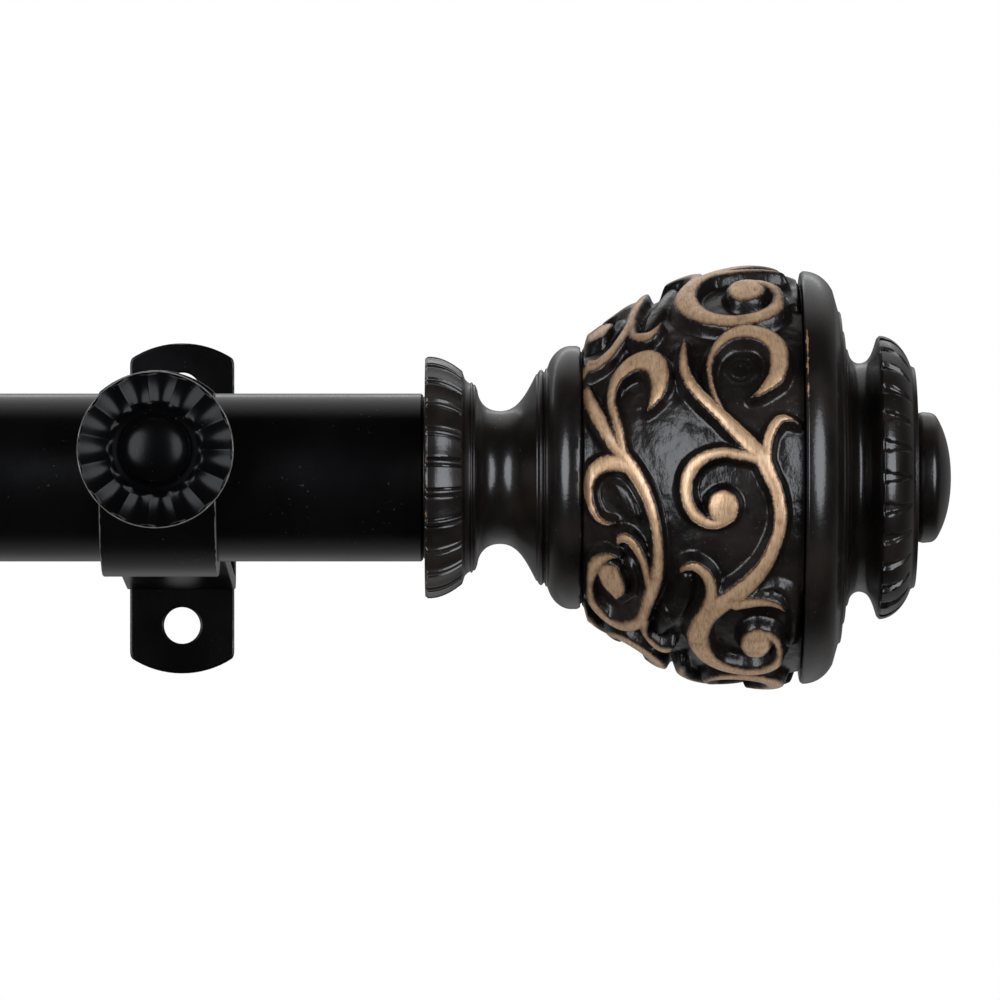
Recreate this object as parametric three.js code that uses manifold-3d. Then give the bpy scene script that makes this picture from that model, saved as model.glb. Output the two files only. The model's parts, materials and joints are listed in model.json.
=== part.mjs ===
// Curtain rod with brackets: a telescoping steel rod with a turned finial screwed into each end,
// carried by two strip-steel wall brackets, each with a knob that clamps the rod.
// Millimetres. +X runs along the rod, +Y goes into the wall and +Z is up. The wall is the plane
// y = 0, and the origin lies on it, level with the rod's axis and midway between the brackets.
import * as THREE from "three";
import { mergeVertices } from "three/addons/utils/BufferGeometryUtils.js";
import Module from "manifold-3d";

const wasm = await Module();
wasm.setup();

// ---- Driving dimensions ----

const GAP = 0.3; // left between pieces that touch
const ROD_REACH = 89; // wall to rod axis
const ROD_SPAN = 711; // collar face to collar face, with the rod closed up
const BRACKET_INSET = 40; // collar face to bracket centre

// The rod: a 1 in outer tube and a 7/8 in inner tube.
const OUTER_TUBE = { outside: 12.7, bore: 11.9 };
const INNER_TUBE = { outside: 11.1, bore: 10.3, length: 650, stub: 20 };
const TUBE_SIDES = 40;
const LINER = { outside: 11.65, bore: 11.3, depth: 20, lip: 1.5, lipRadius: 12.6 };
const GLIDE = { outside: 11.7, spigot: 10, lip: 4, depth: 8 };
const PLUG = { length: 12, innerRadius: 4.8 };
const INSERT = { outside: 4.5, bore: 3.05 };
const STUD = { radius: 2.9, inRod: 11.6, inFinial: 13.5 };

// The brackets: 2 mm strip.
const STRIP = 2;
const ARM_WIDTH = 17.5;
const PLATE = { width: 16.8, low: -31.4, high: 21.9, arch: 2.6 };
const SCREW_HOLE = { radius: 3.1, low: -23.65, high: 14.2 };
const FLANGE_TOP = 3;
const ARM_ROOT = -17; // height of the arm's middle line where it leaves the flange
const SADDLE = { bore: 13, start: -135, crestRun: 1.58 };
const TAB = { top: 16, arch: 3.4 };
const BEND_SETBACK = { flange: 2.2, crest: 1.05 };
const RIVET = { shank: 1.4, head: 3.1, headHeight: 1.5, sink: 2.7, heights: [-10.5, -1.5] };

// The knob's pieces are turned about one axis, and each height here is a distance in front of
// the rod's axis.
const KNOB_HEIGHT = 4.1; // knob axis above the rod's axis
const TAB_FRONT = SADDLE.bore + STRIP;
const NUT = { flange: 4.4, flangeHeight: 2.7, shank: 3.2, bore: 2.6 };
const PAD = { radius: 1.8, thickness: 1.2, face: 12.9 };
const KNOB = { back: 18.8, hub: 5, rim: 11.7, bore: 2.75, flutes: 15, fluteDepth: 0.5 };
const KNOB_SCREW = { shank: 2.45, head: 5.3, seat: 21.5, crown: 2.8 };

// The finials: each height is a distance from the collar's face along the finial.
const FINIAL_BORE = { radius: 3.15, depth: 14 };
const NECK_END = 23.4;
const NECK_SPIGOT = { radius: 7.7, end: 27 };
const BOWL = { start: 23.7, end: 56.9 };
const CAP_START = 57.2;
const CAP_SPIGOT = { radius: 9.7, start: 52.3 };
const CAP_END = 73.9;
const BUTTON_SHANK = { radius: 3.7, start: 69.3 };
const BUTTON_START = 74.2;
const FINIAL_END = 79.5;
const COLLAR_FLUTES = 24;
const DISC_FLUTES = 28;
const FLUTE_DEPTH = 0.5;

// ---- Materials ----

function blackEnamel() {
  return new THREE.MeshStandardMaterial({ color: 0x0d0d0e, roughness: 0.4, metalness: 0.3 });
}

function blackLacquer() {
  return new THREE.MeshStandardMaterial({ color: 0x100d0b, roughness: 0.22, metalness: 0.1 });
}

function gildedLacquer() {
  return new THREE.MeshStandardMaterial({ color: 0x5c4526, roughness: 0.4, metalness: 0.6 });
}

function nylon() {
  return new THREE.MeshStandardMaterial({ color: 0x1c1c1c, roughness: 0.7, metalness: 0 });
}

function brass() {
  return new THREE.MeshStandardMaterial({ color: 0xb08a45, roughness: 0.35, metalness: 1 });
}

function zincedSteel() {
  return new THREE.MeshStandardMaterial({ color: 0xa9abae, roughness: 0.4, metalness: 1 });
}

// ---- Joining and cutting ----

function solid(geometry) {
  const bare = geometry.clone();
  bare.deleteAttribute("normal");
  bare.deleteAttribute("uv");
  const merged = mergeVertices(bare, 1e-4);
  return new wasm.Manifold(
    new wasm.Mesh({
      numProp: 3,
      vertProperties: merged.attributes.position.array,
      triVerts: new Uint32Array(merged.index.array),
    }),
  );
}

function geometryOf(manifold) {
  const mesh = manifold.getMesh();
  const geometry = new THREE.BufferGeometry();
  geometry.setAttribute("position", new THREE.BufferAttribute(mesh.vertProperties, 3));
  geometry.setIndex(new THREE.BufferAttribute(mesh.triVerts, 1));
  const faceted = geometry.toNonIndexed();
  faceted.computeVertexNormals();
  return faceted;
}

// ---- Shapes ----

function piece(name, geometry, material) {
  const mesh = new THREE.Mesh(geometry, material);
  mesh.name = name;
  return mesh;
}

// A solid turned about the Y axis. The outline is a path of (radius, height) points.
function turned(outline, sides, curveSteps = 6) {
  return new THREE.LatheGeometry(outline.getPoints(curveSteps), sides);
}

// Presses flutes into a turned solid with two sides to a flute: every second column of
// vertices moves inwards, or along the axis, where its height is between low and high.
function flute(geometry, sides, low, high, inwards, along) {
  const position = geometry.attributes.position;
  const rows = position.count / (sides + 1);
  for (let i = 0; i < position.count; i += 1) {
    const column = Math.floor(i / rows);
    const height = position.getY(i);
    const radius = Math.hypot(position.getX(i), position.getZ(i));
    if (column % 2 === 0 || height < low || height > high || radius < KNOB.hub + 2) continue;
    const scale = (radius - inwards) / radius;
    position.setXYZ(i, position.getX(i) * scale, height + along, position.getZ(i) * scale);
  }
  return geometry;
}

function ringOutline(bore, outside, start, end) {
  const outline = new THREE.Path();
  outline.moveTo(bore, start);
  outline.lineTo(outside, start);
  outline.lineTo(outside, end);
  outline.lineTo(bore, end);
  outline.lineTo(bore, start);
  return outline;
}

// A strap's flat outline, with an arched top and an arched or square bottom.
function strapShape(width, low, high, archLow, archHigh) {
  const half = width / 2;
  const shape = new THREE.Shape();
  const topRadius = (half * half + archHigh * archHigh) / (2 * archHigh);
  const topTurn = Math.asin(half / topRadius);
  shape.moveTo(-half, low + archLow);
  if (archLow > 0) {
    const lowRadius = (half * half + archLow * archLow) / (2 * archLow);
    const lowTurn = Math.asin(half / lowRadius);
    const down = -Math.PI / 2;
    shape.absarc(0, low + lowRadius, lowRadius, down - lowTurn, down + lowTurn, false);
  } else {
    shape.lineTo(half, low);
  }
  const up = Math.PI / 2;
  shape.absarc(0, high - topRadius, topRadius, up - topTurn, up + topTurn, false);
  shape.closePath();
  return shape;
}

// The outline of a bent strip: its middle line set off by half the thickness to each side.
function stripShape(middle, thickness, curveSteps) {
  const points = middle.getPoints(curveSteps);
  const last = points.length - 1;
  const offset = (point, i, side) => {
    const into = point.clone().sub(points[Math.max(i - 1, 0)]);
    const out = points[Math.min(i + 1, last)].clone().sub(point);
    const along = into.clone().normalize().add(out.clone().normalize()).normalize();
    const mitre = 1 / along.dot(i < last ? out.normalize() : into.normalize());
    const reach = (side * thickness * mitre) / 2;
    return new THREE.Vector2(point.x - along.y * reach, point.y + along.x * reach);
  };
  const left = points.map((point, i) => offset(point, i, 1));
  const right = points.map((point, i) => offset(point, i, -1));
  return new THREE.Shape([...left, ...right.reverse()]);
}

// Runs a path straight to a corner and bends it round towards the next point.
function bendTo(path, corner, next, setback) {
  const start = path.currentPoint.clone().sub(corner).setLength(setback).add(corner);
  const end = next.clone().sub(corner).setLength(setback).add(corner);
  path.lineTo(start.x, start.y);
  path.quadraticCurveTo(corner.x, corner.y, end.x, end.y);
}

// A round hole's cutter along Y, centred on the bracket's middle.
function holeCutter(radius, height, from, to) {
  const cutter = new THREE.CylinderGeometry(radius, radius, Math.abs(to - from), 16);
  return cutter.translate(0, (from + to) / 2, height);
}

// ---- Bracket pieces, in the bracket's own frame: x = 0 is its middle ----

function wallPlate() {
  const shape = strapShape(PLATE.width, PLATE.low, PLATE.high, PLATE.arch, PLATE.arch);
  for (const height of [SCREW_HOLE.low, SCREW_HOLE.high]) {
    const hole = new THREE.Path();
    hole.absarc(0, height, SCREW_HOLE.radius, 0, 2 * Math.PI, true);
    shape.holes.push(hole);
  }
  const sheet = new THREE.ExtrudeGeometry(shape, {
    depth: STRIP,
    bevelEnabled: false,
    curveSegments: 8,
  });
  sheet.rotateX(Math.PI / 2);
  let plate = solid(sheet);
  for (const height of RIVET.heights) {
    // Each rivet hole is countersunk from the back, so that the plate lies flat on the wall.
    const sunk = new THREE.Path();
    sunk.moveTo(0, -STRIP - 1);
    sunk.lineTo(RIVET.shank + GAP, -STRIP - 1);
    sunk.lineTo(RIVET.shank + GAP, -STRIP / 2);
    sunk.lineTo(RIVET.sink + GAP, 0);
    sunk.lineTo(RIVET.sink + GAP, 1);
    sunk.lineTo(0, 1);
    plate = plate.subtract(solid(turned(sunk, 12).translate(0, 0, height)));
  }
  return geometryOf(plate);
}

// The arm is one strip: a flange riveted to the plate, the arm itself, the saddle under the rod
// and the tab that stands up in front of it. Its side view is drawn as (distance from the wall,
// height).
function bracketArm() {
  const flangeLine = STRIP + GAP + STRIP / 2;
  const saddleRadius = SADDLE.bore + STRIP / 2;
  const start = THREE.MathUtils.degToRad(SADDLE.start);
  const entry = new THREE.Vector2(
    ROD_REACH + saddleRadius * Math.cos(start),
    saddleRadius * Math.sin(start),
  );
  const downhill = new THREE.Vector2(-Math.sin(start), Math.cos(start));
  const crest = entry.clone().addScaledVector(downhill, -SADDLE.crestRun);
  const root = new THREE.Vector2(flangeLine, ARM_ROOT);
  const middle = new THREE.Path();
  middle.moveTo(flangeLine, FLANGE_TOP);
  bendTo(middle, root, crest, BEND_SETBACK.flange);
  bendTo(middle, crest, entry, BEND_SETBACK.crest);
  middle.absarc(ROD_REACH, 0, saddleRadius, start, 0, false);
  middle.lineTo(ROD_REACH + saddleRadius, TAB.top);
  const side = new THREE.ExtrudeGeometry(stripShape(middle, STRIP, 7), {
    depth: ARM_WIDTH,
    bevelEnabled: false,
  });
  // Side view to bracket frame: distance from the wall runs along -Y, height along +Z.
  const turn = new THREE.Matrix4().makeBasis(
    new THREE.Vector3(0, -1, 0),
    new THREE.Vector3(0, 0, 1),
    new THREE.Vector3(-1, 0, 0),
  );
  side.applyMatrix4(turn).translate(ARM_WIDTH / 2, 0, 0);
  const front = new THREE.ExtrudeGeometry(
    strapShape(ARM_WIDTH + 0.02, -2 * saddleRadius, TAB.top, 0, TAB.arch),
    { depth: 2 * ROD_REACH, bevelEnabled: false, curveSegments: 8 },
  );
  front.rotateX(Math.PI / 2);
  let arm = solid(side).intersect(solid(front));
  for (const height of RIVET.heights) {
    const cutter = holeCutter(RIVET.shank + GAP, height, 0, -ROD_REACH / 2);
    arm = arm.subtract(solid(cutter));
  }
  const nutHole = holeCutter(NUT.shank + GAP, KNOB_HEIGHT, -ROD_REACH, -ROD_REACH - 30);
  return geometryOf(arm.subtract(solid(nutHole)));
}

// A rivet stands along -Y from the wall side: countersunk tail, shank and domed head.
function rivet() {
  const headSeat = 2 * STRIP + 2 * GAP;
  const outline = new THREE.Path();
  outline.moveTo(0, 0.05);
  outline.lineTo(RIVET.sink, 0.05);
  outline.lineTo(RIVET.shank, STRIP / 2);
  outline.lineTo(RIVET.shank, headSeat);
  outline.lineTo(RIVET.head, headSeat);
  const top = headSeat + RIVET.headHeight;
  outline.quadraticCurveTo(RIVET.head * 0.8, top, 0, top);
  return turned(outline, 12, 2);
}

function clinchNut() {
  const flangeBack = TAB_FRONT + GAP;
  const outline = new THREE.Path();
  outline.moveTo(NUT.bore, SADDLE.bore + 0.2);
  outline.lineTo(NUT.shank, SADDLE.bore + 0.2);
  outline.lineTo(NUT.shank, flangeBack);
  outline.lineTo(NUT.flange, flangeBack);
  outline.lineTo(NUT.flange, flangeBack + NUT.flangeHeight);
  outline.lineTo(NUT.bore, flangeBack + NUT.flangeHeight);
  outline.lineTo(NUT.bore, SADDLE.bore + 0.2);
  return turned(outline, 16);
}

function knobPad() {
  const outline = new THREE.Path();
  outline.moveTo(0, PAD.face);
  outline.lineTo(PAD.radius, PAD.face);
  outline.lineTo(PAD.radius, PAD.face + PAD.thickness);
  outline.lineTo(0, PAD.face + PAD.thickness);
  return turned(outline, 16);
}

// The rosette is a dished, fluted disc on a short hub, with a recess round the screw's head.
function rosette() {
  const sides = 2 * KNOB.flutes;
  const outline = new THREE.Path();
  outline.moveTo(KNOB.bore, KNOB.back);
  outline.lineTo(KNOB.hub, KNOB.back);
  outline.lineTo(KNOB.hub, KNOB.back + 1.2);
  outline.lineTo(KNOB.rim - 0.3, KNOB.back + 1.6);
  outline.lineTo(KNOB.rim, KNOB.back + 2);
  outline.lineTo(KNOB.rim, KNOB.back + 2.5);
  outline.lineTo(9.6, KNOB.back + 3.6);
  outline.lineTo(7.4, KNOB.back + 3.9);
  outline.lineTo(6.6, KNOB.back + 2.6);
  outline.lineTo(KNOB.bore, KNOB.back + 2.4);
  outline.lineTo(KNOB.bore, KNOB.back);
  const disc = turned(outline, sides);
  return flute(disc, sides, KNOB.back + 2.7, KNOB.back + 5, 0, -KNOB.fluteDepth);
}

function knobScrew() {
  const tip = PAD.face + PAD.thickness + GAP;
  const outline = new THREE.Path();
  outline.moveTo(0, tip);
  outline.lineTo(KNOB_SCREW.shank, tip);
  outline.lineTo(KNOB_SCREW.shank, KNOB_SCREW.seat);
  outline.lineTo(KNOB_SCREW.head, KNOB_SCREW.seat);
  outline.bezierCurveTo(
    KNOB_SCREW.head,
    KNOB_SCREW.seat + 0.6 * KNOB_SCREW.crown,
    0.55 * KNOB_SCREW.head,
    KNOB_SCREW.seat + KNOB_SCREW.crown,
    0,
    KNOB_SCREW.seat + KNOB_SCREW.crown,
  );
  return turned(outline, 20, 4);
}

function bracket(side, middle) {
  const group = new THREE.Group();
  group.position.x = middle;
  group.add(piece(`${side}_wall_plate`, wallPlate(), blackEnamel()));
  group.add(piece(`${side}_bracket_arm`, bracketArm(), blackEnamel()));
  for (const [place, height] of [
    ["lower", RIVET.heights[0]],
    ["upper", RIVET.heights[1]],
  ]) {
    const one = piece(`${side}_${place}_rivet`, rivet(), blackEnamel());
    one.rotation.x = Math.PI;
    one.position.z = height;
    group.add(one);
  }
  // The knob's axis runs along -Y from the rod's axis.
  const knob = new THREE.Group();
  knob.rotation.x = Math.PI;
  knob.position.set(0, -ROD_REACH, KNOB_HEIGHT);
  knob.add(piece(`${side}_clinch_nut`, clinchNut(), blackEnamel()));
  knob.add(piece(`${side}_knob_pad`, knobPad(), nylon()));
  knob.add(piece(`${side}_rosette`, rosette(), blackEnamel()));
  knob.add(piece(`${side}_knob_screw`, knobScrew(), blackEnamel()));
  group.add(knob);
  return group;
}

// ---- Finial pieces, turned about Y with the collar's face at y = 0 ----

function finialNeck() {
  const sides = 2 * COLLAR_FLUTES;
  const outline = new THREE.Path();
  outline.moveTo(0, FINIAL_BORE.depth);
  outline.lineTo(FINIAL_BORE.radius, FINIAL_BORE.depth);
  outline.lineTo(FINIAL_BORE.radius, 0);
  outline.lineTo(18.2, 0);
  outline.lineTo(18.4, 0.8);
  outline.quadraticCurveTo(17.9, 3.4, 16.3, 5);
  outline.lineTo(14.1, 6.2);
  outline.bezierCurveTo(13.6, 8, 10.05, 8.6, 10.05, 11.3);
  outline.bezierCurveTo(10.05, 13.6, 12.9, 14.4, 15.8, 16.8);
  outline.lineTo(16.3, 17.8);
  outline.quadraticCurveTo(19.9, 19.4, 19.9, 22);
  outline.lineTo(19.7, NECK_END);
  outline.lineTo(NECK_SPIGOT.radius, NECK_END);
  outline.lineTo(NECK_SPIGOT.radius, NECK_SPIGOT.end);
  outline.lineTo(0, NECK_SPIGOT.end);
  return flute(turned(outline, sides, 2), sides, 0.7, 5.2, FLUTE_DEPTH, 0);
}

function finialBowl() {
  const socket = NECK_SPIGOT.radius + GAP;
  const capSocket = CAP_SPIGOT.radius + GAP;
  const outline = new THREE.Path();
  outline.moveTo(0, NECK_SPIGOT.end + GAP);
  outline.lineTo(socket, NECK_SPIGOT.end + GAP);
  outline.lineTo(socket, BOWL.start);
  outline.lineTo(19.3, BOWL.start);
  outline.bezierCurveTo(21.2, 25, 31.9, 35, 31.9, 51.5);
  outline.quadraticCurveTo(31.9, 55, 30.6, BOWL.end);
  outline.lineTo(capSocket, BOWL.end);
  outline.lineTo(capSocket, CAP_SPIGOT.start - GAP);
  outline.lineTo(0, CAP_SPIGOT.start - GAP);
  return turned(outline, 36, 4);
}

function finialCap() {
  const sides = 2 * DISC_FLUTES;
  const socket = BUTTON_SHANK.radius + GAP;
  const outline = new THREE.Path();
  outline.moveTo(0, CAP_SPIGOT.start);
  outline.lineTo(CAP_SPIGOT.radius, CAP_SPIGOT.start);
  outline.lineTo(CAP_SPIGOT.radius, CAP_START);
  outline.lineTo(31.2, CAP_START);
  outline.quadraticCurveTo(31.2, 61.4, 25.6, 62.9);
  outline.lineTo(18.1, 64);
  outline.quadraticCurveTo(16.4, 65.8, 18.8, 67.8);
  outline.lineTo(21.5, 69);
  outline.quadraticCurveTo(21.2, 71.4, 18.8, 73.3);
  outline.lineTo(18.2, CAP_END);
  outline.lineTo(socket, CAP_END);
  outline.lineTo(socket, BUTTON_SHANK.start - GAP);
  outline.lineTo(0, BUTTON_SHANK.start - GAP);
  return flute(turned(outline, sides, 2), sides, 68.5, 73.5, FLUTE_DEPTH, 0);
}

function finialButton() {
  const outline = new THREE.Path();
  outline.moveTo(0, BUTTON_SHANK.start);
  outline.lineTo(BUTTON_SHANK.radius, BUTTON_SHANK.start);
  outline.lineTo(BUTTON_SHANK.radius, BUTTON_START);
  outline.lineTo(9.6, BUTTON_START);
  outline.lineTo(9.9, 75);
  outline.lineTo(9.8, 76.7);
  outline.quadraticCurveTo(7.5, FINIAL_END, 0, FINIAL_END);
  return turned(outline, 24, 4);
}

function finialStud() {
  const outline = new THREE.Path();
  outline.moveTo(0, -STUD.inRod);
  outline.lineTo(STUD.radius, -STUD.inRod);
  outline.lineTo(STUD.radius, STUD.inFinial);
  outline.lineTo(0, STUD.inFinial);
  return turned(outline, 16);
}

// quarter is the turn about Z that lays the finial's axis along the rod: -1 to the right, 1 to
// the left.
function finial(side, face, quarter) {
  const group = new THREE.Group();
  group.rotation.z = (quarter * Math.PI) / 2;
  group.position.set(face, -ROD_REACH, 0);
  group.add(piece(`${side}_finial_stud`, finialStud(), zincedSteel()));
  group.add(piece(`${side}_finial_neck`, finialNeck(), blackLacquer()));
  group.add(piece(`${side}_finial_bowl`, finialBowl(), gildedLacquer()));
  group.add(piece(`${side}_finial_cap`, finialCap(), blackLacquer()));
  group.add(piece(`${side}_finial_button`, finialButton(), blackLacquer()));
  return group;
}

// ---- Rod pieces, turned about Y with the height running to the right along the rod ----

function rod() {
  const group = new THREE.Group();
  group.rotation.z = -Math.PI / 2;
  group.position.y = -ROD_REACH;
  const end = ROD_SPAN / 2 - GAP;
  const mouth = -ROD_SPAN / 2 + INNER_TUBE.stub;
  const hiddenEnd = -end + INNER_TUBE.length;
  const tube = (size, start, stop) => turned(ringOutline(size.bore, size.outside, start, stop), TUBE_SIDES);
  const plug = (tubeBore, start) => {
    return turned(ringOutline(PLUG.innerRadius, tubeBore - GAP, start, start + PLUG.length), 24);
  };
  const insert = (start) => {
    return turned(ringOutline(INSERT.bore, INSERT.outside, start, start + PLUG.length), 16);
  };

  const liner = new THREE.Path();
  liner.moveTo(LINER.bore, mouth - GAP - LINER.lip);
  liner.lineTo(LINER.lipRadius, mouth - GAP - LINER.lip);
  liner.lineTo(LINER.lipRadius, mouth - GAP);
  liner.lineTo(LINER.outside, mouth - GAP);
  liner.lineTo(LINER.outside, mouth + LINER.depth);
  liner.lineTo(LINER.bore, mouth + LINER.depth);
  liner.lineTo(LINER.bore, mouth - GAP - LINER.lip);

  const glide = new THREE.Path();
  glide.moveTo(0, hiddenEnd - GLIDE.depth);
  glide.lineTo(GLIDE.spigot, hiddenEnd - GLIDE.depth);
  glide.lineTo(GLIDE.spigot, hiddenEnd + GAP);
  glide.lineTo(GLIDE.outside, hiddenEnd + GAP);
  glide.lineTo(GLIDE.outside, hiddenEnd + GAP + GLIDE.lip);
  glide.lineTo(0, hiddenEnd + GAP + GLIDE.lip);

  group.add(piece("outer_tube", tube(OUTER_TUBE, mouth, end), blackEnamel()));
  group.add(piece("outer_tube_liner", turned(liner, TUBE_SIDES), nylon()));
  group.add(piece("outer_tube_plug", plug(OUTER_TUBE.bore, end - PLUG.length), nylon()));
  group.add(piece("outer_tube_insert", insert(end - PLUG.length), brass()));
  group.add(piece("inner_tube", tube(INNER_TUBE, -end, hiddenEnd), blackEnamel()));
  group.add(piece("inner_tube_glide", turned(glide, 24), nylon()));
  group.add(piece("inner_tube_plug", plug(INNER_TUBE.bore, -end), nylon()));
  group.add(piece("inner_tube_insert", insert(-end), brass()));
  return group;
}

// ---- The assembly ----

const face = ROD_SPAN / 2;
const curtainRod = new THREE.Group();
curtainRod.add(rod());
curtainRod.add(bracket("right", face - BRACKET_INSET));
curtainRod.add(bracket("left", BRACKET_INSET - face));
curtainRod.add(finial("right", face, -1));
curtainRod.add(finial("left", -face, 1));

export default curtainRod;
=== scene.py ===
"""The looks of a curtain rod with brackets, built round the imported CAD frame: each visible piece
as a fine mesh with a procedural material. Tables are in millimetres and Blender is in metres."""
import json
import math

import bmesh
import bpy
import numpy as np
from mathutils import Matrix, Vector


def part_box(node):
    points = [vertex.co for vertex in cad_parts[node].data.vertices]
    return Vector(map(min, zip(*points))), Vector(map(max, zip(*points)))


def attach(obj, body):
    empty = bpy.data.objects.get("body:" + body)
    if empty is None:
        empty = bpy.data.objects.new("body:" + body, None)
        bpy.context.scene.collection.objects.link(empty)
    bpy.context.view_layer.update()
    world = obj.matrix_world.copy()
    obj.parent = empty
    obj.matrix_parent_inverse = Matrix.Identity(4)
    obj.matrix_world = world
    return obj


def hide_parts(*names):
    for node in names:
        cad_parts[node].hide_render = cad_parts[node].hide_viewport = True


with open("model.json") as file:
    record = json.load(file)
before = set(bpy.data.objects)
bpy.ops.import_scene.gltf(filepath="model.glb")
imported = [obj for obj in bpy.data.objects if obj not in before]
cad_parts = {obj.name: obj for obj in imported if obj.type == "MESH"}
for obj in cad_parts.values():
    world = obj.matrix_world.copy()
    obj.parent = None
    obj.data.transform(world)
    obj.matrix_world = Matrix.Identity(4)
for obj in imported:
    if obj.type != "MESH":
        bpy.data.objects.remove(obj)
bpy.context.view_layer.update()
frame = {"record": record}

MM = 0.001
SIDES = {"right": 1, "left": -1}
BODIES = frame["record"]["behaviour"]["bodies"]
BODY_OF = {node: body for body, nodes in BODIES.items() for node in nodes}


def middle_of(node):
    low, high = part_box(node)
    return (low + high) / 2


ROD_Y = middle_of("outer_tube").y
REACH = -ROD_Y / MM
COLLAR_FACE = {"right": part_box("right_finial_neck")[0].x, "left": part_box("left_finial_neck")[1].x}
BRACKET_X = {side: middle_of(side + "_wall_plate").x for side in SIDES}
KNOB_HEIGHT = middle_of("right_rosette").z / MM


# ---- Forms ----

CROWDING = 0.75


def smooth(value, low, high):
    """0 below low, 1 above high, and a smooth rise between them."""
    t = np.clip((value - low) / (high - low), 0, 1)
    return t * t * (3 - 2 * t)


class Place:
    """Where a turned piece stands: its origin, its axis, and the direction of its angle 0."""

    def __init__(self, origin, axis, zero):
        self.origin = np.array(origin, float)
        self.axis = np.array(axis, float)
        self.zero = np.array(zero, float)
        self.quarter = np.cross(self.axis, self.zero)

    def points(self, radius, height, angle):
        radius, height, angle = np.broadcast_arrays(radius, height, angle)
        across = (radius * np.cos(angle))[..., None] * self.zero
        up = (radius * np.sin(angle))[..., None] * self.quarter
        return self.origin + MM * (height[..., None] * self.axis + across + up)


ROD_PLACE = Place((0, ROD_Y, 0), (1, 0, 0), (0, -1, 0))


def finial_place(side):
    """Heights run outwards from the collar's face."""
    return Place((COLLAR_FACE[side], ROD_Y, 0), (SIDES[side], 0, 0), (0, -SIDES[side], 0))


def front_place(side, height, start=0.0):
    """Heights run towards the room from a point above or below the rod's axis."""
    return Place((BRACKET_X[side], start, height * MM), (0, -1, 0), (1, 0, 0))


class Outline:
    """A turned piece's half section, drawn as (radius, height) points."""

    def __init__(self, radius, height):
        self.points = [(radius, height)]

    def to(self, *points):
        self.points.extend(points)
        return self

    def curve(self, *controls, steps=10):
        """A Bezier curve from the last point, past the control points, to the final one."""
        corners = np.array([self.points[-1], *controls], float)
        for step in range(1, steps + 1):
            layer = corners
            while len(layer) > 1:
                layer = layer[:-1] + (layer[1:] - layer[:-1]) * step / steps
            self.points.append(tuple(layer[0]))
        return self

    def ring(self):
        """Closes the outline on its first point, for a piece with a bore right through."""
        self.points.append(self.points[0])
        return self

    def softened(self, radius, least_turn=28):
        """The points, with each sharp corner rounded off."""
        points = np.array(self.points, float)
        rounded = [points[0]]
        for before, corner, after in zip(points, points[1:], points[2:]):
            into, out = corner - before, after - corner
            long_in, long_out = np.linalg.norm(into), np.linalg.norm(out)
            cosine = np.clip(into @ out / (long_in * long_out), -1, 1)
            if math.degrees(math.acos(cosine)) < least_turn:
                rounded.append(corner)
                continue
            start = corner - into * min(radius / long_in, 0.45)
            end = corner + out * min(radius / long_out, 0.45)
            for t in (0, 0.25, 0.5, 0.75, 1):
                rounded.append((1 - t) ** 2 * start + 2 * t * (1 - t) * corner + t * t * end)
        rounded.append(points[-1])
        return np.array(rounded)


def refined(points, step, low, high):
    """The points, with every run between two heights cut into steps."""
    fine = [points[0]]
    for start, end in zip(points, points[1:]):
        inside = low <= (start[1] + end[1]) / 2 <= high
        count = max(1, math.ceil(np.linalg.norm(end - start) / step)) if inside else 1
        fine.extend(start + (end - start) * k / count for k in range(1, count + 1))
    return np.array(fine)


def turned_mesh(name, outline, columns, place, relief=None, crowd=None):
    """The mesh of a turned piece. relief takes the radius, height and angle of its grid and gives
    the radius and height back, changed, with any attributes for the material. crowd, a number of
    flutes and the shift of their edges, gathers the grid's columns at those edges."""
    angle = np.arange(columns)[None, :] * 2 * math.pi / columns
    if crowd:
        flutes, shift = crowd
        angle = angle - CROWDING / flutes * np.sin(flutes * angle + 2 * math.pi * shift)
    ring = np.allclose(outline[0], outline[-1])
    poles = [] if ring else [end for end in (0, -1) if outline[end][0] < 1e-6]
    rows = outline[(1 if 0 in poles else 0):(-1 if ring or -1 in poles else len(outline))]
    radius = np.repeat(rows[:, :1], columns, 1)
    height = np.repeat(rows[:, 1:], columns, 1)
    attributes = {}
    if relief:
        radius, height, attributes = relief(radius, height, angle)
    vertices = place.points(radius, height, angle).reshape(-1, 3)
    attributes = {key: values.ravel() for key, values in attributes.items()}

    row = np.arange(len(rows) if ring else len(rows) - 1)[:, None]
    next_row = (row + 1) % len(rows) * columns
    column = np.arange(columns)[None, :]
    next_column = (column + 1) % columns
    corners = (row * columns + column, row * columns + next_column,
               next_row + next_column, next_row + column)
    faces = np.stack(corners, -1).reshape(-1, 4).tolist()
    for pole in poles:
        first = 0 if pole == 0 else (len(rows) - 1) * columns
        tip = len(vertices)
        vertices = np.vstack([vertices, place.points(0.0, outline[pole][1], 0.0)])
        attributes = {key: np.append(values, values[first]) for key, values in attributes.items()}
        for k in range(columns):
            edge = [first + k, first + (k + 1) % columns]
            faces.append([*(edge[::-1] if pole == 0 else edge), tip])
    return closed_mesh(name, vertices, faces, attributes)


def closed_mesh(name, vertices, faces, attributes=None):
    mesh = bpy.data.meshes.new(name)
    mesh.from_pydata(np.asarray(vertices, float).tolist(), [], faces)
    for key, values in (attributes or {}).items():
        write_attribute(mesh, key, values)
    face_outwards(mesh)
    return mesh


def write_attribute(mesh, key, values):
    layer = mesh.attributes.new(key, "FLOAT", "POINT")
    layer.data.foreach_set("value", values.astype(np.float32))


def face_outwards(mesh):
    """A closed mesh whose faces look outwards has a positive volume."""
    form = bmesh.new()
    form.from_mesh(mesh)
    if form.calc_volume(signed=True) < 0:
        mesh.flip_normals()
    form.free()


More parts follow.
